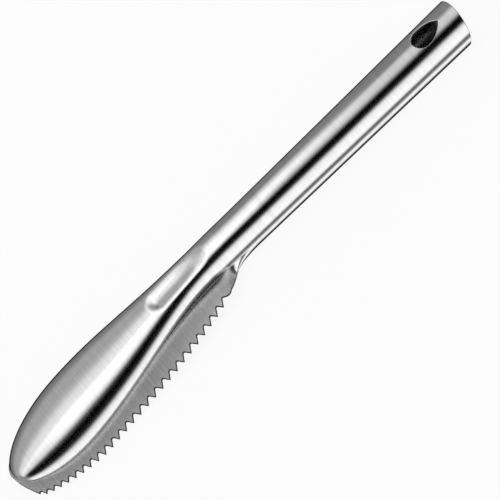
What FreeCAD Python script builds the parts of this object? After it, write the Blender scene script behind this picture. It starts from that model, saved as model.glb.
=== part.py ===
import FreeCAD, Part
import math
import os
import Sketcher

# Fish scaler pressed and rolled from one sheet of stainless steel, in millimetres.
# The forming frame has X along the handle axis, from the nose tip (0) to the handle
# end, Z along the punch direction and the toothed flange on the -Y side.
# The finished tool is then rolled onto its flange side, as it lies on a table.

Vector = FreeCAD.Vector
doc = FreeCAD.newDocument("fish_scaler")

# Driving dimensions

DIMENSIONS = [
    ("overall_length", 235.0, "nose tip to the longest point of the handle"),
    ("sheet_thickness", 1.0, "one gauge everywhere"),
    ("neck_diameter", 16.8, "outside of the tube where it leaves the head"),
    ("end_diameter", 18.9, "outside of the tube at the handle end"),
    ("seam_gap", 0.4, "open butt joint along the underside of the tube"),
    ("end_slant", 16.5, "degrees, handle end cut, longest on the hole side"),
    ("dome_width", 31.4, "foot to foot across the widest part of the dome"),
    ("dome_station", 34.0, "nose tip to the widest part"),
    ("nose_rim", 0.7, "flange in front of the dome at the nose tip"),
    ("flank_drop", 2.0, "centre of the dome's ellipse below the flange"),
    ("fade_station", 59.0, "station where flank_drop starts to fade out"),
    ("nose_offset", 8.3, "crest line beside the handle axis at the nose"),
    ("crest_sweep", 7.0, "pull of the crest line towards the flange"),
    ("crest_run", 100.0, "station where the crest joins the handle axis"),
    ("neck_station", 106.0, "station where the dome has narrowed to the tube"),
    ("roll_start", 76.0, "station where the plain edge starts to roll under"),
    ("curl_start", 103.0, "station where the flange starts to curl under"),
    ("tube_station", 125.0, "station where both edges meet at the seam"),
    ("crease_reach", 1.0, "size of the bend between dome and flange"),
    ("flange_rise", 8.0, "degrees, flange slope at the bend"),
    ("bend_start", 60.0, "degrees round the nose where the edge starts to bend out"),
    ("bend_end", 88.0, "degrees round the nose where the flange is fully bent"),
    ("flange_front", 8.6, "flange width beside the widest part"),
    ("flange_middle", 11.1, "flange width at its middle station"),
    ("flange_rear", 12.75, "largest flange width"),
    ("flange_end", 10.8, "flange width at the last tooth"),
    ("flange_neck", 8.6, "flange width where it curls under"),
    ("middle_station", 62.0, "station of flange_middle"),
    ("rear_station", 86.0, "station of flange_rear"),
    ("last_tooth", 99.2, "station of the tooth nearest the handle"),
    ("tooth_count", 27, "teeth along the flange"),
    ("tooth_pitch", 4.1, "tip to tip on the straight run"),
    ("nose_pitch", 2.9, "tip to tip at the nose"),
    ("tooth_depth", 3.1, "tip to root on the straight run"),
    ("nose_depth", 1.5, "tip to root at the nose"),
    ("graded_gaps", 14, "gaps over which the teeth grow from the nose"),
    ("root_radius", 0.5, "rounding of the tooth roots"),
    ("tip_land", 0.2, "flat left on each tooth tip"),
    ("notch_width", 1.7, "last tooth tip to the bottom of the notch behind it"),
    ("notch_length", 7.0, "last tooth tip to the far end of that notch"),
    ("notch_rise", 2.5, "far end of the notch inside the tooth tip"),
    ("groove_start", 82.5, "centre of the thumb groove's rounded front end"),
    ("groove_end", 105.0, "centre of the thumb groove's rounded rear end"),
    ("groove_depth", 1.0, "depth of the thumb groove"),
    ("groove_floor", 1.6, "half width of the groove's flat floor"),
    ("groove_reach", 5.0, "half width of the groove at its rim"),
    ("hole_width", 8.7, "hanging hole, across the handle"),
    ("hole_length", 12.9, "hanging hole, along the handle"),
    ("hole_inset", 7.4, "pointed end of the hole to the handle end"),
]

sheet = doc.addObject("Spreadsheet::Sheet", "dimensions")
for row, (alias, value, meaning) in enumerate(DIMENSIONS, start=1):
    sheet.set("A%d" % row, alias)
    sheet.set("B%d" % row, str(value))
    sheet.set("C%d" % row, meaning)
    sheet.setAlias("B%d" % row, alias)
doc.recompute()


def size(alias):
    return float(sheet.get(alias))


length = size("overall_length")
thickness = size("sheet_thickness")
neck_radius = size("neck_diameter") / 2
end_radius = size("end_diameter") / 2
half_width = size("dome_width") / 2
dome_station = size("dome_station")
neck_station = size("neck_station")
tube_station = size("tube_station")
taper = (end_radius - neck_radius) / (length - tube_station)


# Helpers

def ease(value, start, end):
    """Smooth step from 0 at start to 1 at end."""
    share = min(1.0, max(0.0, (value - start) / (end - start)))
    return share * share * (3 - 2 * share)


def mix(first, second, share):
    return first * (1 - share) + second * share


def spread(start, end, count):
    """Evenly spaced values from start up to, but not including, end."""
    return [start + (end - start) * i / count for i in range(count)]


def spline_through(points, parameters):
    curve = Part.BSplineCurve()
    curve.interpolate(Points=points, Parameters=parameters)
    return curve


def size_curve(pairs):
    """Smooth function through (position, size) pairs."""
    points = [Vector(position, value, 0) for position, value in pairs]
    curve = spline_through(points, [position for position, value in pairs])
    return lambda position: curve.value(position).y


# Sizes that change along the tool

nose_offset = size("nose_offset")
crest_sweep = size("crest_sweep")
crest_run = size("crest_run")
flank_drop = size("flank_drop")
flange_front = size("flange_front")
last_tooth = size("last_tooth")
nose_rim = size("nose_rim")
nose_tip = 90


def crest_offset(x):
    """Distance of the crest line from the handle axis, towards the flange."""
    along = min(x / crest_run, 1.0)
    rest = 1 - along
    return rest * rest * (nose_offset * rest + 3 * crest_sweep * along)


def tube_radius(x):
    return neck_radius + taper * max(0.0, x - tube_station)


def foot_half_width(x):
    """Half width of the dome at the flange, narrowing to the tube at the neck."""
    narrowed = (x - dome_station) / (neck_station - dome_station)
    narrowed = min(1.0, max(0.0, narrowed))
    return mix(half_width, tube_radius(x), (1 - math.cos(math.pi * narrowed)) / 2)


def ellipse_drop(x):
    """Depth of the section's centre below the flange, which fades out at the neck."""
    return flank_drop * (1 - ease(x, size("fade_station"), neck_station))


def wall_end_angle(x):
    """Section angle at which the plain wall ends, level with the flange's underside."""
    drop = ellipse_drop(x)
    return math.acos((drop - thickness) / (tube_radius(x) + drop))


flange_width_along = size_curve([
    (dome_station, flange_front),
    (size("middle_station"), size("flange_middle")),
    (size("rear_station"), size("flange_rear")),
    (last_tooth, size("flange_end")),
    (neck_station, size("flange_neck")),
])

# Share of the front flange width at each angle of the fan round the nose.
flange_width_round = size_curve([
    (nose_tip, nose_rim / flange_front),
    (110, 0.22),
    (120, 0.46),
    (128, 0.72),
    (137, 0.80),
    (150, 0.82),
    (165, 0.91),
    (180, 1.0),
])

groove_start = size("groove_start")
groove_end = size("groove_end")
groove_floor = size("groove_floor")
groove_reach = size("groove_reach")
groove_depth = size("groove_depth")


def groove_at(x, y):
    """Depth of the pressed thumb groove, a rounded slot along the crest."""
    beyond = max(groove_start - x, 0, x - groove_end)
    distance = math.hypot(beyond, y)
    return groove_depth * (1 - ease(distance, groove_floor, groove_reach))


# Section of the sheet

crease_reach = size("crease_reach")
rise = math.radians(size("flange_rise"))
seam_angle = math.pi - size("seam_gap") / (2 * neck_radius)


class Section:
    """Upper face of the sheet at one station, as points in the forming frame.

    The crown is an ellipse, from its crest (angle 0) down. Where flange_share is 1 the
    sheet bends out of it into the flange; where it is 0 the sheet follows the ellipse
    on to end_angle. turn is 0 on the plain side, pi on the flange side and pi / 2 at
    the nose tip.
    """

    def __init__(self, x, turn, half_x, half_y, width, flange_share, end_angle):
        self.x = x
        self.turn = turn
        self.height = tube_radius(x)
        self.drop = ellipse_drop(x)
        self.depth = self.height + self.drop
        stretch = 1 / math.sin(math.acos(self.drop / self.depth))
        self.half_x = half_x
        self.half_y = half_y * stretch
        self.flange_share = flange_share
        self.end_angle = end_angle
        self.reach = crease_reach * width / (width + crease_reach)
        self.flat = width - self.reach
        self.crease_part = 2 * self.reach / (2 * self.reach + self.flat)
        foot_angle = math.acos(self.drop / self.depth)
        crease_angle = math.acos((crease_reach + self.drop) / self.depth)
        self.turn_angle = mix(foot_angle, crease_angle, flange_share)

    def crown(self, angle):
        return Vector(
            self.x - self.half_x * math.sin(angle) * math.sin(self.turn),
            self.half_y * math.sin(angle) * math.cos(self.turn),
            self.depth * math.cos(angle) - self.drop,
        )

    def crown_fall(self, angle):
        return Vector(
            -self.half_x * math.cos(angle) * math.sin(self.turn),
            self.half_y * math.cos(angle) * math.cos(self.turn),
            -self.depth * math.sin(angle),
        )

    def outward(self, slope):
        """Direction of the flange, square to the foot of the dome."""
        normal = Vector(-math.sin(self.turn) * self.half_y, math.cos(self.turn) * self.half_x, 0)
        normal = normal.normalize() * math.cos(slope)
        return normal + Vector(0, 0, math.sin(slope))

    def bent(self, strip, share):
        """Point of the crease, a parabola, or of the flange, which flattens outwards."""
        start = self.crown(self.turn_angle)
        fall = self.crown_fall(self.turn_angle)
        corner = start - fall * (start.z / fall.z)
        end = corner + self.outward(rise) * self.reach
        if strip == "crease":
            return start * (1 - share) ** 2 + corner * 2 * share * (1 - share) + end * share ** 2
        droop = math.sin(rise) * self.flat * share ** 3 / 3
        return end + self.outward(rise) * self.flat * share - Vector(0, 0, droop)

    def rolled(self, strip, share):
        """Point of the ellipse below the turn, shared out like the crease and flange."""
        if strip == "crease":
            part = self.crease_part * share
        else:
            part = mix(self.crease_part, 1.0, share)
        return self.crown(mix(self.turn_angle, self.end_angle, part))

    def point(self, strip, share):
        if strip == "crown":
            place = self.crown(self.turn_angle * share)
        else:
            place = mix(self.rolled(strip, share), self.bent(strip, share), self.flange_share)
        return place - Vector(0, crest_offset(place.x), groove_at(place.x, place.y))


def plain_section(x):
    """Section on the plain side, whose wall rolls on under the handle to the seam."""
    rolled = ease(x, size("roll_start"), tube_station)
    end_angle = mix(wall_end_angle(x), seam_angle, rolled)
    half_y = foot_half_width(x)
    width = flange_front * flange_width_round(nose_tip)
    return Section(x, 0.0, half_y, half_y, width, 0.0, end_angle)


def flange_section(x):
    """Section on the toothed side, whose flange curls under the handle to the seam."""
    share = 1 - ease(x, size("curl_start"), tube_station)
    half_y = foot_half_width(x)
    width = flange_width_along(min(x, neck_station))
    return Section(x, math.pi, half_y, half_y, width, share, seam_angle)


def nose_section(degrees):
    """Section fanned about the crest, from the plain side (0) over the nose tip to 180."""
    end_angle = wall_end_angle(dome_station)
    half_x = (dome_station - nose_rim) / math.sin(end_angle)
    width = flange_front * flange_width_round(max(degrees, nose_tip))
    share = ease(degrees, size("bend_start"), size("bend_end"))
    turn = math.radians(degrees)
    return Section(dome_station, turn, half_x, half_width, width, share, end_angle)


# Stations along the tool, and nodes across the sheet

crown_nodes = [0, 0.07, 0.14, 0.21, 0.28, 0.35, 0.43, 0.52, 0.62, 0.72, 0.82, 0.91, 1.0]
crease_nodes = [0, 0.25, 0.5, 0.75, 1.0]
flange_nodes = [0, 0.15, 0.35, 0.55, 0.75, 0.9, 1.0]
strips = [("crown", crown_nodes), ("crease", crease_nodes), ("flange", flange_nodes)]

margin = 2
groove_front = groove_start - groove_reach - margin
groove_back = groove_end + groove_reach + margin
tube_start = tube_station + margin
tube_end = length + margin
head_stations = (
    spread(dome_station, groove_front, 6)
    + spread(groove_front, groove_start, 5)
    + spread(groove_start, groove_end, 5)
    + spread(groove_end, groove_back, 5)
    + spread(groove_back, tube_start, 5)
    + [tube_start]
)
tube_stations = [tube_start, tube_end]
nose_turns = spread(0, 60, 4) + spread(60, 140, 10) + spread(140, 180, 3) + [180]


class Rib:
    """Matching points of the sheet's two faces at one station.

    outer is 1 where the section's stations and nodes run so that along x across points
    out of the sheet's upper face, and -1 where it points in.
    """

    def __init__(self, make_section, position, outer):
        step = 0.01
        section = make_section(position)
        before = make_section(position - step)
        after = make_section(position + step)
        self.faces = {}
        for strip, nodes in strips:
            upper = [section.point(strip, node) for node in nodes]
            lower = []
            for node, place in zip(nodes, upper):
                along = after.point(strip, node) - before.point(strip, node)
                across = section.point(strip, node + 0.001) - section.point(strip, node - 0.001)
                if along.Length < 1e-9:
                    normal = Vector(0, 0, 1)
                else:
                    normal = along.cross(across).normalize() * outer
                lower.append(place - normal * thickness)
            self.faces[strip] = (upper, lower)
        for (first, _), (second, _) in zip(strips, strips[1:]):
            self.faces[second][1][0] = self.faces[first][1][-1]


plain_ribs = [Rib(plain_section, x, 1) for x in head_stations + [tube_end]]
flange_ribs = [Rib(flange_section, x, -1) for x in head_stations + [tube_end]]
fan_ribs = [Rib(nose_section, turn, -1) for turn in nose_turns[1:-1]]
fan_ribs = [plain_ribs[0]] + fan_ribs + [flange_ribs[0]]
for plain_rib, flange_rib in zip(plain_ribs, flange_ribs):
    flange_rib.faces["crown"][1][0] = plain_rib.faces["crown"][1][0]
for fan_rib in fan_ribs:
    fan_rib.faces["crown"][1][0] = plain_ribs[0].faces["crown"][1][0]


# Faces of the formed sheet

def spline_degree(parameters):
    """Cubic through many stations, straight between two."""
    return 1 if len(parameters) == 2 else 3


def knots_and_mults(parameters):
    ends = spline_degree(parameters) + 1
    inner = len(parameters) - 2
    return parameters, [ends] + [1] * inner + [ends]


def poles_along(points, parameters):
    """Poles of the curve through the points, or one point repeated at the fan's centre."""
    if spline_degree(parameters) == 1:
        return points
    spread_out = max(point.distanceToPoint(points[0]) for point in points)
    if spread_out < 1e-6:
        return [points[0]] * (len(points) + 2)
    return spline_through(points, parameters).getPoles()


def patch(rows, row_parameters, node_parameters):
    """Surface through rows of points, and its pole grid."""
    across = [poles_along(row, node_parameters) for row in rows]
    columns = [poles_along(list(column), row_parameters) for column in zip(*across)]
    grid = [list(row) for row in zip(*columns)]
    row_knots, row_mults = knots_and_mults(row_parameters)
    node_knots, node_mults = knots_and_mults(node_parameters)
    surface = Part.BSplineSurface()
    surface.buildFromPolesMultsKnots(
        grid, row_mults, node_mults, row_knots, node_knots, False, False,
        spline_degree(row_parameters), spline_degree(node_parameters))
    return surface.toShape(), grid


def edge_face(upper_poles, lower_poles, parameters):
    """Face of the sheet's cut edge, straight from the upper face to the lower."""
    knots, mults = knots_and_mults(parameters)
    surface = Part.BSplineSurface()
    surface.buildFromPolesMultsKnots(
        [list(pair) for pair in zip(upper_poles, lower_poles)],
        mults, [2, 2], knots, [0.0, 1.0], False, False, spline_degree(parameters), 1)
    return surface.toShape()


def sheet_faces(ribs, parameters, has_end):
    """Both faces of one fan or one side, with their free edge and tube end."""
    faces = []
    for strip, nodes in strips:
        grids = []
        for level in (0, 1):
            rows = [rib.faces[strip][level] for rib in ribs]
            face, grid = patch(rows, parameters, nodes)
            faces.append(face)
            grids.append(grid)
        upper, lower = grids
        if has_end:
            faces.append(edge_face(upper[-1], lower[-1], nodes))
    upper_edge = [row[-1] for row in upper]
    lower_edge = [row[-1] for row in lower]
    faces.append(edge_face(upper_edge, lower_edge, parameters))
    return faces


def formed_sheet():
    faces = sheet_faces(fan_ribs, nose_turns, False)
    for ribs in (plain_ribs, flange_ribs):
        faces += sheet_faces(ribs[:-1], head_stations, False)
        faces += sheet_faces(ribs[-2:], tube_stations, True)
    shell = Part.makeShell(faces)
    shell.sewShape()
    solid = Part.Solid(Part.Shell(shell.Faces))
    if solid.Volume < 0:
        solid.reverse()
    return solid


blank = doc.addObject("Part::Feature", "formed_sheet")
blank.Label = "formed_sheet"
blank.Shape = formed_sheet()


# Teeth, cut by one die that is open to the outside of the flange

tooth_count = int(size("tooth_count"))
tooth_pitch = size("tooth_pitch")
nose_pitch = size("nose_pitch")
tooth_depth = size("tooth_depth")
nose_depth = size("nose_depth")
root_radius = size("root_radius")
tip_land = size("tip_land")
graded_gaps = size("graded_gaps")
overshoot = tip_land * tooth_depth / tooth_pitch


def flat(point):
    return Vector(point.x, point.y, 0)


def flange_edge():
    """Outer edge of the flange seen along the punch, from the nose to the neck."""
    points = [flat(nose_section(turn).point("flange", 1)) for turn in range(95, 180, 5)]
    steps = spread(dome_station, neck_station, 24)
    points += [flat(flange_section(x).point("flange", 1)) for x in steps]
    curve = Part.BSplineCurve()
    curve.interpolate(Points=points)
    return curve


def edge_normal(curve, parameter):
    """Direction out of the flange, in plan."""
    along = curve.tangent(parameter)[0]
    return Vector(along.y, -along.x, 0) * (1 if along.x > 0 else -1)


def graded(nose_size, full_size, number):
    """Size of the tooth gap that is number gaps away from the nose."""
    return mix(nose_size, full_size, min(1.0, number / graded_gaps))


def tooth_tips(curve):
    """Points of the teeth, a little outside the flange so that each keeps its land."""
    neck_end = Vector(last_tooth, flange_section(last_tooth).point("flange", 1).y, 0)
    parameter = curve.parameter(neck_end)
    tips = []
    for gap in range(tooth_count - 2, -2, -1):
        tips.append(curve.value(parameter) + edge_normal(curve, parameter) * overshoot)
        if gap >= 0:
            pitch = graded(nose_pitch, tooth_pitch, gap)
            parameter = curve.parameterAtDistance(-pitch, parameter)
    return list(reversed(tips))


def rounded_corner(before, corner, after, radius):
    """Ends and middle of the arc that rounds a corner."""
    back = (before - corner).normalize()
    ahead = (after - corner).normalize()
    half_angle = back.getAngle(ahead) / 2
    middle_line = (back + ahead).normalize()
    run = radius / math.tan(half_angle)
    middle = corner + middle_line * (radius / math.sin(half_angle) - radius)
    return corner + back * run, middle, corner + ahead * run


def root_corner(tip, next_tip, depth):
    """Sharp corner under a rounded root of the given depth below the tip line."""
    half_gap = (next_tip - tip).Length / 2
    centre_depth = depth - root_radius
    spared = 1 - (root_radius / half_gap) ** 2
    sharp_depth = math.sqrt(centre_depth ** 2 - spared * (centre_depth ** 2 - root_radius ** 2))
    sharp_depth = (centre_depth + sharp_depth) / spared
    along = (next_tip - tip).normalize()
    inward = Vector(-along.y, along.x, 0)
    return (tip + next_tip) / 2 + inward * sharp_depth


def die_outline():
    tips = tooth_tips(flange_edge())
    notch_end = tips[-1] + Vector(size("notch_length"), size("notch_rise"), 0)
    notch_corner = tips[-1] + Vector(size("notch_width"), tooth_depth + 2 * root_radius, 0)
    edges = []
    start = tips[0]
    for number in range(tooth_count - 1):
        depth = graded(nose_depth, tooth_depth, number) + overshoot
        corner = root_corner(tips[number], tips[number + 1], depth)
        root = rounded_corner(tips[number], corner, tips[number + 1], root_radius)
        edges.append(Part.makeLine(start, root[0]))
        edges.append(Part.Arc(*root).toShape())
        edges.append(Part.makeLine(root[2], tips[number + 1]))
        start = tips[number + 1]
    root = rounded_corner(tips[-1], notch_corner, notch_end, root_radius)
    edges.append(Part.makeLine(start, root[0]))
    edges.append(Part.Arc(*root).toShape())
    outside = [
        root[2],
        notch_end,
        Vector(notch_end.x, 2 * tips[-1].y, 0),
        Vector(-dome_station, 2 * tips[-1].y, 0),
        Vector(-dome_station, tips[0].y, 0),
        tips[0],
    ]
    edges += [Part.makeLine(first, second) for first, second in zip(outside, outside[1:])]
    return Part.Wire(edges)


tooth_die = doc.addObject("Part::Feature", "tooth_die")
tooth_die.Label = "tooth_die"
tooth_die.Shape = Part.Face(die_outline()).extrude(Vector(0, 0, neck_radius))
tooth_die.Placement = FreeCAD.Placement(Vector(0, 0, -neck_radius / 2), FreeCAD.Rotation())

toothed_sheet = doc.addObject("Part::Cut", "toothed_sheet")
toothed_sheet.Base = blank
toothed_sheet.Tool = tooth_die
doc.recompute()


# Hanging hole, rounded towards the head and pointed towards the handle end

hole_profile = doc.addObject("Sketcher::SketchObject", "hole_profile")
hole_radius = size("hole_width") / 2
point_reach = size("hole_length") - hole_radius
hole_centre = length - size("hole_inset") - point_reach
side_radius = (point_reach ** 2 + hole_radius ** 2) / (2 * hole_radius)
side_shift = side_radius - hole_radius
point_angle = math.atan2(side_shift, point_reach)
upward = Vector(0, 0, 1)
round_end = Part.Circle(Vector(hole_centre, 0, 0), upward, hole_radius)
left_side = Part.Circle(Vector(hole_centre, -side_shift, 0), upward, side_radius)
right_side = Part.Circle(Vector(hole_centre, side_shift, 0), upward, side_radius)
hole_profile.addGeometry(Part.ArcOfCircle(round_end, math.pi / 2, 3 * math.pi / 2))
hole_profile.addGeometry(Part.ArcOfCircle(left_side, point_angle, math.pi / 2))
hole_profile.addGeometry(Part.ArcOfCircle(right_side, 3 * math.pi / 2, 2 * math.pi - point_angle))

START, END, CENTRE = 1, 2, 3
ORIGIN = X_AXIS = -1
ROUND, LEFT, RIGHT = 0, 1, 2
for constraint in (
    Sketcher.Constraint("Tangent", ROUND, START, LEFT, END),
    Sketcher.Constraint("Tangent", ROUND, END, RIGHT, START),
    Sketcher.Constraint("Coincident", LEFT, START, RIGHT, END),
    Sketcher.Constraint("PointOnObject", ROUND, CENTRE, X_AXIS),
    Sketcher.Constraint("PointOnObject", LEFT, START, X_AXIS),
    Sketcher.Constraint("Vertical", ROUND, CENTRE, ROUND, START),
    Sketcher.Constraint("Vertical", ROUND, CENTRE, ROUND, END),
):
    hole_profile.addConstraint(constraint)
for name, constraint, expression in (
    ("radius", Sketcher.Constraint("Radius", ROUND, hole_radius),
     "dimensions.hole_width / 2"),
    ("reach", Sketcher.Constraint("DistanceX", ROUND, CENTRE, LEFT, START, point_reach),
     "dimensions.hole_length - dimensions.hole_width / 2"),
    ("station", Sketcher.Constraint("DistanceX", ORIGIN, START, LEFT, START, hole_centre + point_reach),
     "dimensions.overall_length - dimensions.hole_inset"),
):
    index = hole_profile.addConstraint(constraint)
    hole_profile.renameConstraint(index, name)
    hole_profile.setExpression("Constraints." + name, expression)

hole_punch = doc.addObject("Part::Extrusion", "hole_punch")
hole_punch.Base = hole_profile
hole_punch.DirMode = "Normal"
hole_punch.Solid = True
hole_punch.setExpression("LengthFwd", "dimensions.end_diameter")

# Slanted cut of the handle end, hinged on the longest point over the hole

end_cutter = doc.addObject("Part::Box", "end_cutter")
end_cutter.setExpression("Length", "dimensions.end_diameter")
end_cutter.setExpression("Width", "2 * dimensions.end_diameter")
end_cutter.setExpression("Height", "4 * dimensions.end_diameter")
end_cutter.Placement.Rotation = FreeCAD.Rotation(Vector(0, 1, 0), size("end_slant"))
end_cutter.setExpression("Placement.Rotation.Angle", "dimensions.end_slant")
end_cutter.setExpression(
    "Placement.Base.x",
    "dimensions.overall_length - 2.5 * dimensions.end_diameter * sin(dimensions.end_slant)",
)
end_cutter.setExpression("Placement.Base.y", "-dimensions.end_diameter")
end_cutter.setExpression(
    "Placement.Base.z",
    "dimensions.end_diameter * (0.5 - 2.5 * cos(dimensions.end_slant))",
)

holed_sheet = doc.addObject("Part::Cut", "holed_sheet")
holed_sheet.Base = toothed_sheet
holed_sheet.Tool = hole_punch
trimmed_sheet = doc.addObject("Part::Cut", "trimmed_sheet")
trimmed_sheet.Base = holed_sheet
trimmed_sheet.Tool = end_cutter
doc.recompute()

# The finished tool, at rest on the underside of its handle and on its teeth


def resting_roll(solid):
    """Roll about the handle axis that brings the lowest tooth down to the table."""
    rolls = []
    for vertex in solid.Vertexes:
        out, up = -vertex.Y, vertex.Z
        reach = math.hypot(out, up)
        floor = neck_radius + taper * (vertex.X - tube_station)
        if vertex.X < last_tooth + tooth_pitch and reach > floor and out > half_width:
            rolls.append(math.asin(floor / reach) + math.atan2(up, out))
    return math.degrees(min(rolls))


scaler = doc.addObject("Part::Feature", "scaler")
scaler.Label = "scaler"
scaler.Shape = trimmed_sheet.Shape.Solids[0]
roll = resting_roll(scaler.Shape)
pitch = math.degrees(math.atan(taper))
lie = FreeCAD.Rotation(Vector(0, 1, 0), -pitch) * FreeCAD.Rotation(Vector(1, 0, 0), roll)
lying = scaler.Shape.copy()
lying.Placement = FreeCAD.Placement(Vector(0, 0, 0), lie)
box = lying.optimalBoundingBox()
scaler.Placement = FreeCAD.Placement(Vector(-box.Center.x, -box.Center.y, -box.ZMin), lie)
doc.recompute()

for item in doc.Objects:
    if "Invalid" in item.State or "Error" in item.State:
        raise RuntimeError("%s failed: %s" % (item.Name, item.State))
if scaler.Shape.isNull() or not scaler.Shape.isValid() or len(trimmed_sheet.Shape.Solids) != 1:
    raise RuntimeError("the sheet is not one valid solid")

os.makedirs("parts", exist_ok=True)
scaler.Shape.exportStep("parts/%s.step" % scaler.Label)
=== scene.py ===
import bmesh
import bpy
import math
import numpy as np
from mathutils import Matrix, Vector


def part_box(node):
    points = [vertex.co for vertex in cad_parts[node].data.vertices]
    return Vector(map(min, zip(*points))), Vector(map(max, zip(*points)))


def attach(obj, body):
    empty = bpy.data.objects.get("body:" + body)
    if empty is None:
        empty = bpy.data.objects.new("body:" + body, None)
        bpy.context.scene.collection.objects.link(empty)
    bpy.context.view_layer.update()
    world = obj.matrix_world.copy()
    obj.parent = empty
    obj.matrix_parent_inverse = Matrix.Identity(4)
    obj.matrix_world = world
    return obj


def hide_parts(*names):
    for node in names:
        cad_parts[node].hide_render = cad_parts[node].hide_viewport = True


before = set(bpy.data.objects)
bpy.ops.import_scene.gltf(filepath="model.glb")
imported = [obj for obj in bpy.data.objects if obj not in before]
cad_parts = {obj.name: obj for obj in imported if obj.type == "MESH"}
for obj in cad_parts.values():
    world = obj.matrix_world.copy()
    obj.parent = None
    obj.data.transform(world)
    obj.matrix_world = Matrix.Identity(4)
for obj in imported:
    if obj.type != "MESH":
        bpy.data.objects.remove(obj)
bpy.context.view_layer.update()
cad_low, cad_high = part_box("scaler")

# The tool is one sheet of stainless steel. Its upper face is worked out here in millimetres,
# in the frame in which the sheet is formed: X along the handle from the nose tip, Z up and
# the toothed flange on the -Y side. It is then laid down as the CAD part lies.

MM = 0.001

# Sizes of the sheet, in millimetres

LENGTH = 235.0
THICKNESS = 1.0
EDGE_ROUNDING = 0.18

# Handle: a tube, wider towards its end, with a seam below and a slanted cut
NECK_RADIUS = 8.4
END_RADIUS = 9.45
SEAM_GAP = 0.4
TUBE = 125.0
TUBE_PLAIN = 200.0
END_SLANT = math.radians(16.5)
TAPER = (END_RADIUS - NECK_RADIUS) / (LENGTH - TUBE)
SEAM_ANGLE = math.pi - SEAM_GAP / (2 * NECK_RADIUS)

# Dome: part of an ellipse, round at the nose, with a crest that dips and sweeps aside
HALF_WIDTH = 15.7
DOME = 34.0
NOSE_RIM = 0.7
FLANK_DROP = 2.0
FADE = 59.2
NOSE_OFFSET = 8.3
CREST_SWEEP = 7.0
CREST_RUN = 100.0
CREST_DIP = 1.6
DIP_END = 118.0

# Neck, where the plain side and then the flange roll under to close the tube
NECK = 106.0
ROLL_START = 76.0
CURL_START = 103.0

# Flange. Round the nose, in degrees from the plain side, it bends out of the dome's wall
# between two angles. Its width is given along the tool, and round the nose as a share of
# its width beside the dome's centre.
CREASE_REACH = 0.12
FLANGE_RISE = math.radians(8.0)
BEND_START = 60.0
BEND_END = 88.0
FLANGE_FRONT = 8.6
FLANGE_ALONG = [(DOME, FLANGE_FRONT), (62.1, 11.1), (85.8, 12.75), (99.2, 10.8), (NECK, 8.2)]
FLANGE_ROUND = [(90, NOSE_RIM / FLANGE_FRONT), (110, 0.22), (120, 0.46), (128, 0.72),
                (137, 0.77), (150, 0.79), (165, 0.89), (180, 1.0)]

# Teeth, smaller and closer towards the nose, and the notch behind the last one
LAST_TOOTH = 99.2
TOOTH_COUNT = 27
GRADED_GAPS = 14
PITCH, NOSE_PITCH = 4.1, 2.9
DEPTH, NOSE_DEPTH = 2.75, 1.4
DEEPENING_GAPS = 7
ROOT_RADIUS = 0.5
TIP_LAND = 0.2
NOTCH_WIDTH, NOTCH_LENGTH, NOTCH_ROUND = 1.9, 8.6, 2.2

# Groove pressed into the crest at the neck
GROOVE_START, GROOVE_END = 83.2, 104.0
GROOVE_FADE, GROOVE_FADED, GROOVE_FADE_END = 93.0, 0.75, 109.0
GROOVE_DEPTH, GROOVE_FLOOR, GROOVE_REACH = 1.6, 0.3, 5.2

# Hanging hole, round towards the neck and pointed towards the end
HOLE_WIDTH, HOLE_LENGTH, HOLE_INSET = 8.7, 12.9, 7.4

# Roll in degrees of the formed sheet about its length, as it lies on its toothed side
ROLL = 14.15


# Helpers

def ease(value, start, end):
    """Smooth step from 0 at start to 1 at end."""
    share = np.clip((value - start) / (end - start), 0, 1)
    return share * share * (3 - 2 * share)


def mix(first, second, share):
    return first * (1 - share) + second * share


def smooth_curve(pairs):
    """Cubic spline through (position, size) pairs."""
    at, size = np.array(pairs, float).T
    gap = np.diff(at)
    rise = np.diff(size) / gap
    system = np.eye(len(at))
    target = np.zeros(len(at))
    for i in range(1, len(at) - 1):
        system[i, i - 1:i + 2] = gap[i], 2 * (gap[i - 1] + gap[i]), gap[i - 1]
        target[i] = 3 * (gap[i] * rise[i - 1] + gap[i - 1] * rise[i])
    for end, four in ((0, slice(0, 4)), (-1, slice(-4, None))):
        cubic = np.polyfit(at[four] - at[end], size[four], 3)
        target[end] = cubic[2]
    slope = np.linalg.solve(system, target)

    def value(position):
        position = np.clip(position, at[0], at[-1])
        i = np.clip(np.searchsorted(at, position) - 1, 0, len(gap) - 1)
        t = (position - at[i]) / gap[i]
        u = 1 - t
        ends = size[i] * u * u * (1 + 2 * t) + size[i + 1] * t * t * (3 - 2 * t)
        return ends + gap[i] * t * u * (slope[i] * u - slope[i + 1] * t)

    return value


flange_along = smooth_curve(FLANGE_ALONG)
flange_round = smooth_curve(FLANGE_ROUND)


# The sheet's upper face
#
# run counts degrees round the nose below 0, from the plain side (-180) to the flange side
# (0), and millimetres along the tool above 0. across goes from the crest (0) over the foot
# of the dome and the crease to the sheet's edge.

FOOT, CREASE, EDGE = 1.0, 2.0, 3.0


def tube_radius(x):
    return NECK_RADIUS + TAPER * np.maximum(0, x - TUBE)


def crest_height(x):
    share = ease(x, DOME, DIP_END)
    return tube_radius(x) - CREST_DIP * 4 * share * (1 - share)


def crest_offset(x):
    along = np.minimum(x / CREST_RUN, 1)
    rest = 1 - along
    return rest * rest * (NOSE_OFFSET * rest + 3 * CREST_SWEEP * along)


def ellipse_drop(x):
    return FLANK_DROP * (1 - ease(x, FADE, NECK))


def wall_end_angle(x):
    drop = ellipse_drop(x)
    return np.arccos((drop - THICKNESS) / (crest_height(x) + drop))


def groove_depth(x, y):
    beyond = np.maximum(0, np.maximum(GROOVE_START - x, x - GROOVE_END))
    faded = 1 - GROOVE_FADED * ease(x, GROOVE_FADE, GROOVE_FADE_END)
    return GROOVE_DEPTH * faded * (1 - ease(np.hypot(beyond, y), GROOVE_FLOOR, GROOVE_REACH))


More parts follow.
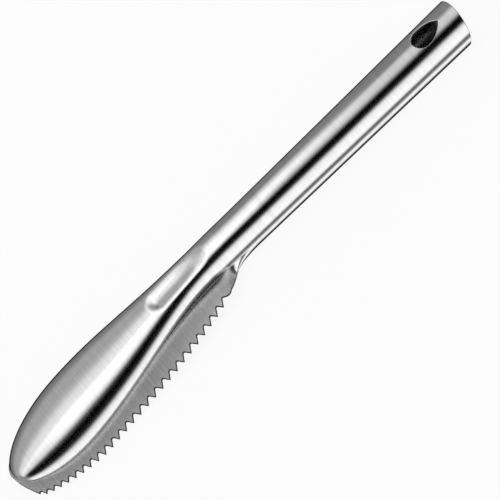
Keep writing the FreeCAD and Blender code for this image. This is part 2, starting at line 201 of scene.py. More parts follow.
def vector(x, y, z):
    return np.stack(np.broadcast_arrays(x, y, z), axis=-1)


def sheet_point(run, across, plain_side=False):
    """Points of the formed sheet's upper face."""
    run, across = np.broadcast_arrays(np.asarray(run, float), np.asarray(across, float))
    fan = run < 0
    degrees = 180 + run
    x = np.where(fan, DOME, DOME + run)
    turn = np.where(plain_side, 0.0, np.where(fan, np.radians(degrees), math.pi))
    narrowed = np.clip((x - DOME) / (NECK - DOME), 0, 1)
    half_y = mix(HALF_WIDTH, tube_radius(x), (1 - np.cos(math.pi * narrowed)) / 2)
    half_x = np.where(fan, (DOME - NOSE_RIM) / np.sin(wall_end_angle(DOME)), half_y)
    if plain_side:
        width = np.full_like(x, NOSE_RIM)
        bend = np.zeros_like(x)
        end_angle = mix(wall_end_angle(x), SEAM_ANGLE, ease(x, ROLL_START, TUBE))
    else:
        width = np.where(fan, FLANGE_FRONT * flange_round(degrees), flange_along(x))
        bend = np.where(fan, ease(degrees, BEND_START, BEND_END), 1 - ease(x, CURL_START, TUBE))
        end_angle = np.where(fan, wall_end_angle(DOME), SEAM_ANGLE)
    drop = ellipse_drop(x)
    depth = crest_height(x) + drop
    foot_angle = np.arccos(drop / depth)
    half_y = half_y / np.sin(foot_angle)
    reach = CREASE_REACH * width / (width + CREASE_REACH)
    flat = width - reach
    crease_part = 2 * reach / (2 * reach + flat)
    turn_angle = mix(foot_angle, np.arccos((CREASE_REACH + drop) / depth), bend)

    def crown(angle):
        return vector(x - half_x * np.sin(angle) * np.sin(turn),
                      half_y * np.sin(angle) * np.cos(turn),
                      depth * np.cos(angle) - drop)

    fall = vector(-half_x * np.cos(turn_angle) * np.sin(turn),
                  half_y * np.cos(turn_angle) * np.cos(turn),
                  -depth * np.sin(turn_angle))
    outward = vector(-np.sin(turn) * half_y, np.cos(turn) * half_x, 0 * x)
    outward = outward / np.linalg.norm(outward, axis=-1, keepdims=True) * math.cos(FLANGE_RISE)
    outward[..., 2] = math.sin(FLANGE_RISE)
    start = crown(turn_angle)
    corner = start - fall * (start[..., 2] / fall[..., 2])[..., None]
    end = corner + outward * reach[..., None]

    crease = np.clip(across - FOOT, 0, 1)
    flange = np.clip(across - CREASE, 0, None)
    u = crease[..., None]
    bent = start * (1 - u) ** 2 + corner * 2 * u * (1 - u) + end * u ** 2
    bent = bent + outward * (flat * flange)[..., None]
    bent[..., 2] -= math.sin(FLANGE_RISE) * flat * flange ** 3 / 3
    part = crease_part * crease + (1 - crease_part) * flange
    rolled = crown(mix(turn_angle, end_angle, part))
    place = np.where((across <= FOOT)[..., None], crown(turn_angle * np.clip(across, 0, 1)),
                     mix(rolled, bent, bend[..., None]))
    sunk = groove_depth(place[..., 0], place[..., 1])
    place[..., 1] -= crest_offset(place[..., 0])
    place[..., 2] -= sunk
    return place


# Teeth, as an outline in plan from the first tip to the end of the notch behind the last

# Steps round a root, along a tooth's flank and along the notch's shoulder
ROOT_STEPS, FLANK_STEPS, SHOULDER_STEPS = 6, 3, 10

# Runs at which the uncut edge is followed, from the nose tip to past the neck, and half of
# the chord that gives the edge's direction at a tip
FIRST_RUN, RUN_STEP, RUN_MARGIN = -90, 0.25, 2
HALF_CHORD = 0.05

# Search for the place on the flange of a point in plan
FIRST_ACROSS = 2.6
SEARCH_STEP = 1e-3
SEARCH_ROUNDS = 12


def plan(point):
    return point[..., :2]


def unit(vectors):
    return vectors / np.linalg.norm(vectors, axis=-1, keepdims=True)


def flange_edge():
    """The uncut edge in plan: runs, points and distances along it."""
    last_run = NECK - DOME + RUN_MARGIN
    round_nose = np.arange(FIRST_RUN, 0, RUN_STEP)
    runs = np.concatenate([round_nose, np.arange(0, last_run, RUN_STEP)])
    points = plan(sheet_point(runs, EDGE))
    steps = np.linalg.norm(np.diff(points, axis=0), axis=1)
    return runs, points, np.concatenate([[0], np.cumsum(steps)])


def graded(nose_size, full_size, number, gaps):
    """Size that grows from the nose to its full value over a number of gaps."""
    return mix(nose_size, full_size, min(1.0, number / gaps))


def root_corner(tip, next_tip, depth):
    """Sharp corner under a rounded root, the given depth below the tips."""
    half_gap = np.linalg.norm(next_tip - tip) / 2
    centre_depth = depth - ROOT_RADIUS
    spared = 1 - (ROOT_RADIUS / half_gap) ** 2
    sharp = math.sqrt(centre_depth ** 2 - spared * (centre_depth ** 2 - ROOT_RADIUS ** 2))
    return (tip + next_tip) / 2 + [0, (centre_depth + sharp) / spared]


def rounded_corner(before, corner, after, count):
    """Points of the arc that rounds a corner."""
    back, ahead = unit(before - corner), unit(after - corner)
    half_angle = math.acos(np.dot(back, ahead)) / 2
    centre = corner + unit(back + ahead) * ROOT_RADIUS / math.sin(half_angle)
    first = corner + back * ROOT_RADIUS / math.tan(half_angle) - centre
    start = math.atan2(first[1], first[0])
    swing = 2 * half_angle - math.pi
    angles = [start + swing * i / (count - 1) for i in range(count)]
    return [centre + ROOT_RADIUS * np.array([math.cos(a), math.sin(a)]) for a in angles]


def line_points(start, end, count):
    """Points between start and end, both left out."""
    return [start + (end - start) * i / (count + 1) for i in range(1, count + 1)]


def tooth_outline():
    """Points of the cut edge in plan, and the run of the column that leads to each."""
    runs, points, distances = flange_edge()

    def edge_at(distance):
        return np.array([np.interp(distance, distances, points[:, i]) for i in (0, 1)])

    overshoot = TIP_LAND * DEPTH / PITCH
    station = np.interp(LAST_TOOTH - DOME, runs, distances)
    places = [station]
    for gap in range(TOOTH_COUNT - 2, -1, -1):
        places.append(places[-1] - graded(NOSE_PITCH, PITCH, gap, GRADED_GAPS))
    places.reverse()

    def tip_at(place):
        along = unit(edge_at(place + HALF_CHORD) - edge_at(place - HALF_CHORD))
        return edge_at(place) + overshoot * np.array([along[1], -along[0]])

    def run_at(place):
        return np.interp(place, distances, runs)

    outline, columns = [], []
    for number in range(TOOTH_COUNT - 1):
        tip, next_tip = tip_at(places[number]), tip_at(places[number + 1])
        start, stop = places[number] + TIP_LAND / 2, places[number + 1] - TIP_LAND / 2
        land_end, next_land = edge_at(start), edge_at(stop)
        depth = graded(NOSE_DEPTH, DEPTH, number, DEEPENING_GAPS) + overshoot
        corner = root_corner(tip, next_tip, depth)
        root = rounded_corner(tip, corner, next_tip, ROOT_STEPS + 1)
        gap = [land_end] + line_points(land_end, root[0], FLANK_STEPS) + root
        gap += line_points(root[-1], next_land, FLANK_STEPS) + [next_land]
        outline += gap
        columns.append(np.linspace(run_at(start), run_at(stop), len(gap)))

    last_tip = tip_at(places[-1])
    corner = last_tip + [NOTCH_WIDTH, DEPTH + 2 * ROOT_RADIUS]
    nearest = np.argmin(np.linalg.norm(points - last_tip - [NOTCH_LENGTH, 0], axis=1))
    edge_end = points[nearest]
    crest = edge_end - unit(points[nearest] - points[nearest - 1]) * NOTCH_ROUND
    arc = rounded_corner(last_tip, corner, crest, ROOT_STEPS + 1)
    land_end = edge_at(places[-1] + TIP_LAND / 2)
    shoulder = [mix(mix(arc[-1], crest, t), mix(crest, edge_end, t), t)
                for t in np.linspace(0, 1, SHOULDER_STEPS + 1)[1:]]
    notch = [land_end] + line_points(land_end, arc[0], FLANK_STEPS) + arc + shoulder
    outline += notch
    start = run_at(places[-1] + TIP_LAND / 2)
    columns.append(np.linspace(start, runs[nearest], len(notch)))
    return np.array(outline), np.concatenate(columns)


def sheet_parameters(points, run):
    """The (run, across) of points of the flange given in plan, found from nearby runs."""
    across = np.full(len(points), FIRST_ACROSS)
    for _ in range(SEARCH_ROUNDS):
        here = plan(sheet_point(run, across))
        by_run = (plan(sheet_point(run + SEARCH_STEP, across)) - here) / SEARCH_STEP
        by_across = (plan(sheet_point(run, across + SEARCH_STEP)) - here) / SEARCH_STEP
        miss = points - here
        det = by_run[:, 0] * by_across[:, 1] - by_run[:, 1] * by_across[:, 0]
        run = run + (miss[:, 0] * by_across[:, 1] - miss[:, 1] * by_across[:, 0]) / det
        across = across + (by_run[:, 0] * miss[:, 1] - by_run[:, 1] * miss[:, 0]) / det
    return run, across


# Grids over the sheet

CROWN_STEPS, CREASE_STEPS, FLANGE_STEPS = 28, 6, 12
CROWN_CROWDING, FLANGE_CROWDING = 1.5, 2.0
NOSE_STEPS, NECK_STEP, TUBE_STEPS, HANDLE_STEPS = 90, 0.8, 40, 60


def flange_columns():
    """Runs of the columns at the crest, and where each meets the toothed edge."""
    outline, tooth_runs = tooth_outline()
    edge_run, edge_across = sheet_parameters(outline, tooth_runs)
    fan = np.linspace(-180, tooth_runs[0], NOSE_STEPS + 1)[:-1]
    behind = np.arange(tooth_runs[-1] + NECK_STEP, TUBE - DOME, NECK_STEP)
    tube = np.linspace(TUBE, TUBE_PLAIN, TUBE_STEPS + 1)[:-1] - DOME
    handle = np.linspace(TUBE_PLAIN, LENGTH, HANDLE_STEPS + 1) - DOME
    rest = np.concatenate([behind, tube, handle])
    column = np.concatenate([fan, tooth_runs, rest])
    edge = np.concatenate([fan, edge_run, rest])
    whole = [np.full(len(fan), EDGE), edge_across, np.full(len(rest), EDGE)]
    return column, edge, np.minimum(np.concatenate(whole), EDGE)


def slant(points):
    """Pull the handle's last stretch back so that it ends at the slanted cut."""
    x, z = points[..., 0], points[..., 2]
    share = np.clip((x - TUBE_PLAIN) / (LENGTH - TUBE_PLAIN), 0, 1)
    shifted = x - share * (END_RADIUS - z) * math.tan(END_SLANT)
    narrowed = np.where(x > TUBE, tube_radius(shifted) / tube_radius(x), 1.0)
    return vector(shifted, points[..., 1] * narrowed, z * narrowed)


def sheet_grids():
    """Points of the flange side, with the nose, and of the plain side."""
    crown = 1 - np.linspace(1, 0, CROWN_STEPS + 1) ** CROWN_CROWDING
    inner = np.concatenate([crown, FOOT + np.linspace(0, 1, CREASE_STEPS + 1)[1:]])
    flange = np.linspace(0, 1, FLANGE_STEPS + 1)[1:] ** FLANGE_CROWDING
    column, edge, edge_across = flange_columns()
    dome = sheet_point(column[:, None], inner[None, :])
    run = mix(column[:, None], edge[:, None], flange[None, :])
    across = mix(CREASE, edge_across[:, None], flange[None, :])
    flange_side = slant(np.concatenate([dome, sheet_point(run, across)], axis=1))
    along = np.concatenate([[0.0], column[column > 0]])
    across = np.concatenate([inner, CREASE + flange])
    plain_side = slant(sheet_point(along[:, None], across[None, :], plain_side=True))
    return flange_side, plain_side


# Hanging hole

HOLE_RADIUS = HOLE_WIDTH / 2
POINT_REACH = HOLE_LENGTH - HOLE_RADIUS
HOLE_CENTRE = LENGTH - HOLE_INSET - POINT_REACH
SIDE_RADIUS = (POINT_REACH ** 2 + HOLE_RADIUS ** 2) / (2 * HOLE_RADIUS)
SIDE_SHIFT = SIDE_RADIUS - HOLE_RADIUS
HOLE_MARGIN = 2.4
RING_STEPS = 6
RING_CROWDING = 1.5


def hole_reach(angle):
    """Distance from the hole's centre to its edge, towards angle in plan."""
    sine = np.abs(np.sin(angle))
    pointed = np.sqrt(SIDE_RADIUS ** 2 - SIDE_SHIFT ** 2 * (1 - sine ** 2)) - SIDE_SHIFT * sine
    return np.where(np.cos(angle) > 0, pointed, HOLE_RADIUS)


def hole_window(side):
    """First and last column, and the rows, of the quads that the hole's ring replaces."""
    crest = side[:, 0, 0]
    first = int(np.argmax(crest > HOLE_CENTRE - HOLE_RADIUS - HOLE_MARGIN))
    last = int(np.argmax(crest > HOLE_CENTRE + POINT_REACH + HOLE_MARGIN))
    rows = int(np.argmax(np.abs(side[last, :, 1]) > HOLE_RADIUS + HOLE_MARGIN / 2))
    return first, last, rows


def window_edge(side):
    """Points round one side's half of the window, from its far end to its near end."""
    first, last, rows = hole_window(side)
    return np.concatenate([side[last, :rows], side[last:first:-1, rows], side[first, rows:0:-1]])


def hole_ring(flange_side, plain_side):
    """Closed rows of points from the window's edge in to the edge of the hole."""
    there = window_edge(plain_side)
    back = window_edge(flange_side)[1:]
    first, last, rows = hole_window(plain_side)
    near = plain_side[first, 0][None]
    outer = np.concatenate([there, near, back[::-1]])
    centre = np.array([HOLE_CENTRE, 0.0])
    away = outer[:, :2] - centre
    angle = np.arctan2(away[:, 1], away[:, 0])
    edge = centre + hole_reach(angle)[:, None] * unit(away)
    shares = 1 - (1 - np.linspace(0, 1, RING_STEPS + 1)) ** RING_CROWDING
    rings = [outer]
    for share in shares[1:]:
        x, y = mix(outer[:, :2], edge, share).T
        rings.append(vector(x, y, np.sqrt(tube_radius(x) ** 2 - y ** 2)))
    return rings


# Mesh of the whole sheet

WELD = 1e-4
SHARP_ANGLE = math.radians(38)

# Finishes of the upper face: satin past the dome's foot on both sides, which takes in the
# crease and the flange, from the nose to the end given below, and brushed elsewhere. The
# satin is rougher, and its darker grey is painted shade.
BRUSHED, SATIN_SHADED = 0, 1
SATIN_SHADED_END = 111.0


def add_rows(mesh, rows, closed=False, window=None):
    """Quads between neighbouring rows of points, without those in the window."""
    made = [[mesh.verts.new(point) for point in row] for row in rows]
    for i, (row, next_row) in enumerate(zip(made, made[1:])):
        for j in range(len(row) - (0 if closed else 1)):
            if window and window[0] <= i < window[1] and j < window[2]:
                continue
            k = (j + 1) % len(row)
            face = mesh.faces.new((row[j], row[k], next_row[k], next_row[j]))
            # Past the dome's foot and before the satin's end, faces take the satin steel, whose
            # darker grey is painted shade.
            past_foot = not closed and j >= CROWN_STEPS
            is_satin_shaded = past_foot and rows[i][j][0] < SATIN_SHADED_END
            face.material_index = SATIN_SHADED if is_satin_shaded else BRUSHED


def upper_face():
    """The upper face's points, faces, normals and count of brushed faces, which are first."""
    flange_side, plain_side = sheet_grids()
    mesh = bmesh.new()
    add_rows(mesh, flange_side, window=hole_window(flange_side))
    add_rows(mesh, plain_side, window=hole_window(plain_side))
    add_rows(mesh, hole_ring(flange_side, plain_side), closed=True)
    bmesh.ops.remove_doubles(mesh, verts=mesh.verts, dist=WELD)
    loose = [vertex for vertex in mesh.verts if not vertex.link_faces]
    bmesh.ops.delete(mesh, geom=loose, context="VERTS")
    bmesh.ops.recalc_face_normals(mesh, faces=mesh.faces)
    mesh.normal_update()
    if sum(face.normal.z * face.calc_area() for face in mesh.faces) < 0:
        bmesh.ops.reverse_faces(mesh, faces=mesh.faces)
        mesh.normal_update()
    mesh.verts.index_update()
    points = np.array([vertex.co for vertex in mesh.verts])
    normals = np.array([vertex.normal for vertex in mesh.verts])
    ordered = sorted(mesh.faces, key=lambda face: face.material_index)
    faces = [[vertex.index for vertex in face.verts] for face in ordered]
    brushed_count = sum(face.material_index == BRUSHED for face in ordered)
    mesh.free()
    return points, faces, normals, brushed_count


def border_edges(faces):
    """Edges that only one face uses, in that face's direction."""
    seen = set()
    for face in faces:
        seen.update(zip(face, face[1:] + face[:1]))
    return [edge for edge in seen if edge[::-1] not in seen]


def edge_shift(points, normals, border):
    """Step of each point towards the sheet, which makes room for the edges' rounding."""
    inward = np.zeros_like(points)
    for a, b in border:
        step = np.cross(normals[a] + normals[b], points[b] - points[a])
        inward[a] += unit(step)
        inward[b] += unit(step)
    size = np.linalg.norm(inward, axis=1)
    on_border = size > 0
    size = size[on_border]
    # At a corner the step is longer, up to twice the rounding.
    scale = np.clip(EDGE_ROUNDING * 2 / size ** 2, 0, 2 * EDGE_ROUNDING / size)
    inward[on_border] *= scale[:, None]
    return inward, np.flatnonzero(on_border)


def sheet_solid():
    """Points and faces of the whole sheet, and the number of each face's steel in STEELS."""
    points, faces, normals, brushed_count = upper_face()
    border = border_edges(faces)
    inward, border_points = edge_shift(points, normals, border)
    count = len(points)
    upper = points + inward
    lower = points - normals * THICKNESS + inward
    rim_of = {vertex: 2 * count + 2 * i for i, vertex in enumerate(border_points)}
    rim = []
    for vertex in rim_of:
        rim.append(points[vertex] - normals[vertex] * EDGE_ROUNDING)
        rim.append(points[vertex] - normals[vertex] * (THICKNESS - EDGE_ROUNDING))
    outer = [tuple(face) for face in faces]
    # The inner face takes a dark grey steel, which is painted shade.
    inner = [tuple(count + vertex for vertex in reversed(face)) for face in faces]
    hole_rim, cut = [], []
    for a, b in border:
        levels = [(a, b), (rim_of[a], rim_of[b]),
                  (rim_of[a] + 1, rim_of[b] + 1), (count + a, count + b)]
        bands = [(b1, a1, a2, b2) for (a1, b1), (a2, b2) in zip(levels, levels[1:])]
        at_hole = abs(points[a][0] - HOLE_CENTRE) < HOLE_LENGTH and points[a][2] > 0
        # The upper band round the hole takes white steel, a painted highlight.
        (hole_rim if at_hole else cut).append(bands[0])
        # The other bands take the cut edges' near-black steel, which is painted shade, as does
        # the upper band elsewhere.
        cut += bands[1:]
    parts = [outer[:brushed_count], outer[brushed_count:], inner, hole_rim, cut]
    steels = np.repeat(range(len(parts)), [len(part) for part in parts])
    return np.concatenate([upper, lower, np.array(rim)]), sum(parts, []), steels


LIE = Matrix.Rotation(-math.atan(TAPER), 3, "Y") @ Matrix.Rotation(math.radians(ROLL), 3, "X")


def lay_down(points):
    """Turn the formed sheet as the tool lies, and set it where the CAD part is, in metres."""
    turned = points @ np.array(LIE).T * MM
    low, high = turned.min(axis=0), turned.max(axis=0)
    shift = (np.array(cad_low) + np.array(cad_high) - low - high) / 2
    shift[2] = cad_low.z - low[2]
    return turned + shift, Vector(shift)


def make_scaler():
    """Make the piece, and give the place where the forming frame's origin now lies."""
    points, faces, steels = sheet_solid()
    placed, origin = lay_down(points)
    mesh = bpy.data.meshes.new("scaler_sheet")
    mesh.from_pydata(placed.tolist(), [], faces)
    mesh.shade_smooth()
    mesh.set_sharp_from_angle(angle=SHARP_ANGLE)
    for make_steel, name, *finish in STEELS:
        mesh.materials.append(make_steel(name, *finish))
    mesh.polygons.foreach_set("material_index", steels)
    piece = bpy.data.objects.new("scaler_sheet", mesh)
    bpy.context.scene.collection.objects.link(piece)
    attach(piece, "root")
    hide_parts("scaler")
    return origin


# Materials

# Brushing, by the fine and the broad streaks in a metre along X, Y and Z, their share of
# the grey, and the roughness and the height in metres that the fine ones add
FINE_SCALE, FINE_DETAIL = (2400.0, 50.0, 50.0), 4.0
BROAD_SCALE, BROAD_DETAIL = (600.0, 15.0, 15.0), 3.0
NOISE_ROUGHNESS = 0.6
FINE_SHARE, BROAD_SHARE, STREAK_SHIFT = 1.4, 1.2, -0.8
STREAK_GLOSS = 0.12
STREAK_BUMP, STREAK_HEIGHT = 0.06, 0.00004


class Nodes:
    """Short ways to add shader nodes and link them."""

    def __init__(self, tree):
        self.tree = tree
        tree.nodes.clear()

    def add(self, kind, **settings):
        """Add a node. A setting that begins with in_ is the value of a socket."""
        node = self.tree.nodes.new(kind)
        for name, value in settings.items():
            if name.startswith("in_"):
                node.inputs[name[3:].replace("_", " ")].default_value = value
            else:
                setattr(node, name, value)
        return node

    def link(self, output, socket):
        self.tree.links.new(output, socket)

    def feed(self, value, socket):
        """Give a socket a number, or link it to the output of another node."""
        if isinstance(value, (int, float)):
            socket.default_value = value
        else:
            self.link(value, socket)

    def math(self, operation, first, second=0.0, third=0.0):
        node = self.add("ShaderNodeMath", operation=operation)
        for socket, value in zip(node.inputs, (first, second, third)):
            self.feed(value, socket)
        return node.outputs[0]

    def mix(self, share, first, second):
        node = self.add("ShaderNodeMix", data_type="FLOAT")
        for name, value in (("Factor", share), ("A", first), ("B", second)):
            self.feed(value, node.inputs[name])
        return node.outputs["Result"]

    def ramp(self, value, start, end):
        """Smooth step of a coordinate, from 0 at start to 1 at end."""
        node = self.add("ShaderNodeMapRange", interpolation_type="SMOOTHSTEP")
        for name, given in (("Value", value), ("From Min", start), ("From Max", end)):
            self.feed(given, node.inputs[name])
        return node.outputs["Result"]

    def place(self, kind):
        """Place of the shaded point as a node with X, Y and Z."""
        parts = self.add("ShaderNodeSeparateXYZ")
        self.link(self.add("ShaderNodeTexCoord").outputs[kind], parts.inputs[0])
        return parts

    def surface(self, shader, kind="ShaderNodeOutputMaterial"):
        self.link(shader, self.add(kind).inputs["Surface"])


def new_material(name):
    material = bpy.data.materials.new(name)
    material.use_nodes = True
    return material, Nodes(material.node_tree)


def brushed_steel(name, dark, light, roughness):
    """Stainless steel, brushed across the tool in fine lines."""
    material, nodes = new_material(name)
    place = nodes.add("ShaderNodeTexCoord")

    def streaks(scale, detail):
        mapping = nodes.add("ShaderNodeMapping", in_Scale=scale)
        nodes.link(place.outputs["Object"], mapping.inputs["Vector"])
        noise = nodes.add("ShaderNodeTexNoise", in_Scale=1.0, in_Detail=detail,
                          in_Roughness=NOISE_ROUGHNESS)
        nodes.link(mapping.outputs["Vector"], noise.inputs["Vector"])
        return noise.outputs["Fac"]

    fine = streaks(FINE_SCALE, FINE_DETAIL)
    broad = streaks(BROAD_SCALE, BROAD_DETAIL)
    shader = nodes.add("ShaderNodeBsdfPrincipled", in_Metallic=1.0)
    colour = nodes.add("ShaderNodeMix", data_type="RGBA")
    colour.inputs["A"].default_value = (dark, dark, dark, 1)
    colour.inputs["B"].default_value = (light, light, light, 1)
    lines = nodes.math("MULTIPLY_ADD", fine, FINE_SHARE, STREAK_SHIFT)
    lightness = nodes.math("MULTIPLY_ADD", broad, BROAD_SHARE, lines)
    nodes.link(lightness, colour.inputs["Factor"])
    nodes.link(colour.outputs["Result"], shader.inputs["Base Color"])
    varied = nodes.math("MULTIPLY_ADD", fine, STREAK_GLOSS, roughness)
    nodes.link(varied, shader.inputs["Roughness"])
    bump = nodes.add("ShaderNodeBump", in_Strength=STREAK_BUMP, in_Distance=STREAK_HEIGHT)
    nodes.link(fine, bump.inputs["Height"])
    nodes.link(bump.outputs["Normal"], shader.inputs["Normal"])
    nodes.surface(shader.outputs["BSDF"])
    return material


def painted_plain_steel(name, grey, roughness):
    """Steel without brushing, whose given grey the sheet uses for painted shade and a painted
    highlight.
    """
    material, nodes = new_material(name)
    shader = nodes.add("ShaderNodeBsdfPrincipled", in_Metallic=1.0, in_Roughness=roughness)
    shader.inputs["Base Color"].default_value = (grey, grey, grey, 1)
    nodes.surface(shader.outputs["BSDF"])
    return material


# Steels of the sheet, in the order of its parts: brushed ones by their darkest and lightest
# grey and their roughness, plain ones by their grey and their roughness. The satin's darker
# grey and the inner face's and cut edges' dark greys are painted shade; the hole rim's
# white is a painted highlight.
STEELS = [
    (brushed_steel, "brushed_steel", 0.71, 0.87, 0.06),
    (brushed_steel, "satin_steel", 0.40, 0.52, 0.24),
    (painted_plain_steel, "inner_steel", 0.32, 0.2),
    (painted_plain_steel, "hole_rim_steel", 1.0, 0.55),
    (painted_plain_steel, "cut_steel", 0.1, 0.4),
]


# Floor, light and camera

# The photo's view: its tilt about the tool's length from the forming frame's Z, its height
# over the floor in degrees, and its roll. AXIS_PIXEL shows the point of the handle's axis
# that is AXIS_STATION millimetres from the nose tip.
VIEW_TILT = math.radians(34.3)
VIEW_ELEVATION = 41.6
VIEW_ROLL = math.radians(44.0)
IMAGE_WIDTH = 500
MM_PER_PIXEL = 0.3656
AXIS_PIXEL = (231.8, 239.4)
AXIS_STATION = 118.4
LENS = 300.0
SENSOR = 36.0
FARTHEST = 20

# White of the floor's paper, and the share of it that is a steady white.
PAPER_WHITE = 0.92
STEADY_SHARE = 0.9
FLOOR_SIZE = 6.0
FLOOR_GAP = 0.00005


def floor_material():
    """White paper: a steady white to the camera, which keeps the tool's shadow."""
    material, nodes = new_material("white_floor")
    white = (PAPER_WHITE, PAPER_WHITE, PAPER_WHITE, 1)
    paper = nodes.add("ShaderNodeBsdfDiffuse", in_Color=white)
    glow = nodes.add("ShaderNodeEmission", in_Strength=1.0)
    path = nodes.add("ShaderNodeLightPath")
    either = nodes.math("MAXIMUM", path.outputs["Is Camera Ray"], path.outputs["Is Glossy Ray"])
    any_of = nodes.math("MAXIMUM", either, path.outputs["Is Transmission Ray"])
    blend = nodes.add("ShaderNodeMixShader")
    nodes.link(nodes.math("MULTIPLY", any_of, STEADY_SHARE), blend.inputs["Fac"])
    nodes.link(paper.outputs["BSDF"], blend.inputs[1])
    nodes.link(glow.outputs["Emission"], blend.inputs[2])
    nodes.surface(blend.outputs["Shader"])
    return material


def make_floor():
    height = cad_low.z - FLOOR_GAP
    bpy.ops.mesh.primitive_plane_add(size=FLOOR_SIZE, location=(0, 0, height))
    floor = bpy.context.object
    floor.name = "floor"
    floor.data.materials.append(floor_material())
    floor.visible_glossy = False


# Level of the studio by its angle round the tool, in degrees from the direction that the
# photo was taken from, positive over the top of the tool.
STUDIO = [
    (-180, 0.02), (-150, 0.02), (-142, 0.04), (-136, 0.3), (-128, 1.1), (-118, 1.6),
    (-110, 1.35), (-103, 0.7), (-96, 0.25), (-88, 0.15), (-83, 0.35), (-76, 1.25),
    (-68, 1.55), (-40, 1.42), (-30, 1.2), (-23, 0.62), (-18, 0.2), (-13, 0.02),
    (0, 0.0), (7, 0.0), (14, 0.1), (22, 0.5), (30, 0.82), (40, 0.92), (56, 0.97),
    (64, 0.84), (74, 0.45), (84, 0.31), (100, 0.32), (120, 0.28), (138, 0.27),
    (150, 0.04), (158, 0.0), (180, 0.0),
]
CURVE_TOP = 2.0

# Level of the whole studio, and the level of white that the camera sees beyond the floor
STUDIO_LEVEL = 0.8
SEEN_LEVEL = 0.965

# Level towards the nose, past the reach of the studio's bands
END_FILL = 0.4
END_FILL_REACH = (0.85, 0.99)

# Share of its level that the studio loses towards the nose, between two angles in radians.
# Each pair says where the loss has gone and where it is full.
NOSE_DIM = 0.55
NOSE_DIM_REACH = (0.0, 0.6)
DIM_START = (0.0, 0.3)
DIM_END = (1.1, 0.5)


def studio_curve(nodes, angle):
    """Level of the studio at an angle in radians, as a share of CURVE_TOP."""
    node = nodes.add("ShaderNodeFloatCurve")
    curve = node.mapping.curves[0]
    stops = [(degrees / 360 + 0.5, level / CURVE_TOP) for degrees, level in STUDIO]
    curve.points[0].location = stops[0]
    curve.points[1].location = stops[-1]
    for stop in stops[1:-1]:
        curve.points.new(*stop)
    for point in curve.points:
        point.handle_type = "VECTOR"
    node.mapping.update()
    share = nodes.math("MULTIPLY_ADD", angle, 1 / (2 * math.pi), 0.5)
    nodes.link(share, node.inputs["Value"])
    return node.outputs["Value"]


def reflected_level(nodes):
    """Level that reflections show in each direction."""
    direction = nodes.place("Generated")
    y, z = direction.outputs["Y"], direction.outputs["Z"]
    elevation = math.radians(VIEW_ELEVATION)
    sine, cosine = math.sin(elevation), math.cos(elevation)
    toward = nodes.math("MULTIPLY_ADD", y, -cosine, nodes.math("MULTIPLY", z, sine))
    over = nodes.math("MULTIPLY_ADD", y, sine, nodes.math("MULTIPLY", z, cosine))
    angle = nodes.math("ARCTAN2", over, toward)
    noseward = nodes.math("MULTIPLY", direction.outputs["X"], -1.0)
    near_nose = nodes.ramp(noseward, *NOSE_DIM_REACH)
    band = nodes.math("MULTIPLY", nodes.ramp(angle, *DIM_START), nodes.ramp(angle, *DIM_END))
    dimmed = nodes.math("MULTIPLY", nodes.math("MULTIPLY", near_nose, band), -NOSE_DIM)
    scale = nodes.math("MULTIPLY_ADD", dimmed, CURVE_TOP, CURVE_TOP)
    level = nodes.math("MULTIPLY", studio_curve(nodes, angle), scale)
    return nodes.mix(nodes.ramp(noseward, *END_FILL_REACH), level, END_FILL)


def make_world():
    world = bpy.data.worlds.new("studio")
    bpy.context.scene.world = world
    world.use_nodes = True
    world.cycles.sampling_method = "NONE"
    nodes = Nodes(world.node_tree)
    path = nodes.add("ShaderNodeLightPath")
    light = nodes.mix(path.outputs["Is Glossy Ray"], 1.0, reflected_level(nodes))
    light = nodes.math("MULTIPLY", light, STUDIO_LEVEL)
    strength = nodes.mix(path.outputs["Is Camera Ray"], light, SEEN_LEVEL)
    background = nodes.add("ShaderNodeBackground", in_Color=(1, 1, 1, 1))
    nodes.link(strength, background.inputs["Strength"])
    nodes.surface(background.outputs["Background"], "ShaderNodeOutputWorld")


GLOW_DISTANCE = 0.15
GLOW_LENGTH = 1.2
GLOW_CORE = 0.3

# Soft lights over the tool. Each has its angle in degrees from the photo's direction, its
# spread in degrees to each side, its level, and its ends, which are pairs of X in metres
# where the light has gone and where it is full.
GLOWS = [
    ("head_glow", 34, 20, 0.6, [(0.03, -0.01)]),
    ("dome_glow", 76, 48, 0.19, [(0.0, -0.04)]),
    ("neck_glow", 62, 34, 0.42, [(-0.05, -0.015), (0.09, 0.02)]),
]


def glow_material(name, half_width, level, ends):
    """Light that is full in the band's core and fades to its sides and ends."""
    material, nodes = new_material(name)
    place = nodes.place("Object")
    from_middle = nodes.math("ABSOLUTE", place.outputs["Y"])
    share = nodes.ramp(from_middle, half_width, half_width * GLOW_CORE)
    for gone, full in ends:
        share = nodes.math("MULTIPLY", share, nodes.ramp(place.outputs["X"], gone, full))
    glow = nodes.add("ShaderNodeEmission")
    nodes.link(nodes.math("MULTIPLY", share, level), glow.inputs["Strength"])
    clear = nodes.add("ShaderNodeBsdfTransparent")
    both = nodes.add("ShaderNodeAddShader")
    nodes.link(glow.outputs["Emission"], both.inputs[0])
    nodes.link(clear.outputs["BSDF"], both.inputs[1])
    nodes.surface(both.outputs["Shader"])
    return material


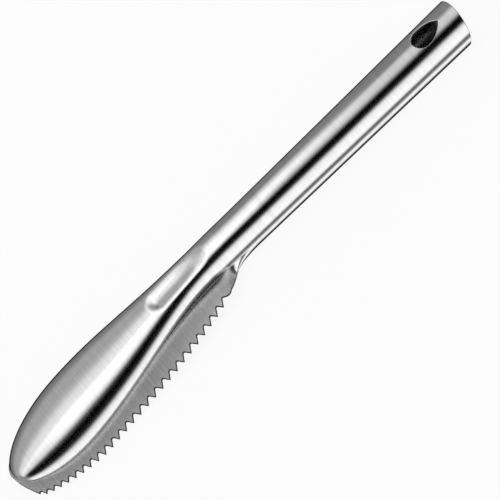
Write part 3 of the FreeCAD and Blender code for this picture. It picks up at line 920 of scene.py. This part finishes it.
def make_glow(name, degrees, spread, level, ends):
    """See-through card of soft light, which only reflections show."""
    elevation = math.radians(VIEW_ELEVATION + degrees)
    away = Vector((0, -math.cos(elevation), math.sin(elevation)))
    half_x = GLOW_LENGTH / 2
    half_y = GLOW_DISTANCE * math.tan(math.radians(spread))
    corners = [(-half_x, -half_y, 0), (half_x, -half_y, 0),
               (half_x, half_y, 0), (-half_x, half_y, 0)]
    mesh = bpy.data.meshes.new(name)
    mesh.from_pydata(corners, [], [(0, 1, 2, 3)])
    mesh.materials.append(glow_material(name, half_y, level, ends))
    card = bpy.data.objects.new(name, mesh)
    bpy.context.scene.collection.objects.link(card)
    axis = Vector((1, 0, 0))
    card.location = away * GLOW_DISTANCE
    card.rotation_mode = "QUATERNION"
    card.rotation_quaternion = Matrix((axis, away.cross(axis), away)).transposed().to_quaternion()
    card.visible_camera = False
    card.visible_diffuse = False
    card.visible_shadow = False


def make_camera(origin):
    """Camera square to the tool's length, which looks down on the flange side."""
    toward_camera = LIE @ Vector((0, -math.sin(VIEW_TILT), math.cos(VIEW_TILT)))
    along = LIE @ Vector((1, 0, 0))
    down = toward_camera.cross(along) * -1
    right = along * math.cos(VIEW_ROLL) + down * math.sin(VIEW_ROLL)
    up = along * math.sin(VIEW_ROLL) - down * math.cos(VIEW_ROLL)
    pixel = MM_PER_PIXEL * MM
    target = origin + along * AXIS_STATION * MM
    target += right * (IMAGE_WIDTH / 2 - AXIS_PIXEL[0]) * pixel
    target -= up * (IMAGE_WIDTH / 2 - AXIS_PIXEL[1]) * pixel
    distance = IMAGE_WIDTH * pixel * LENS / SENSOR
    camera = bpy.data.objects.new("camera", bpy.data.cameras.new("camera"))
    bpy.context.scene.collection.objects.link(camera)
    camera.data.lens = LENS
    camera.data.sensor_width = SENSOR
    camera.data.clip_end = FARTHEST
    camera.location = target + toward_camera * distance
    camera.rotation_mode = "QUATERNION"
    camera.rotation_quaternion = Matrix((right, up, toward_camera)).transposed().to_quaternion()
    bpy.context.scene.camera = camera


origin = make_scaler()
make_floor()
make_world()
for glow in GLOWS:
    make_glow(*glow)
make_camera(origin)

bpy.context.scene.view_settings.view_transform = "Standard"
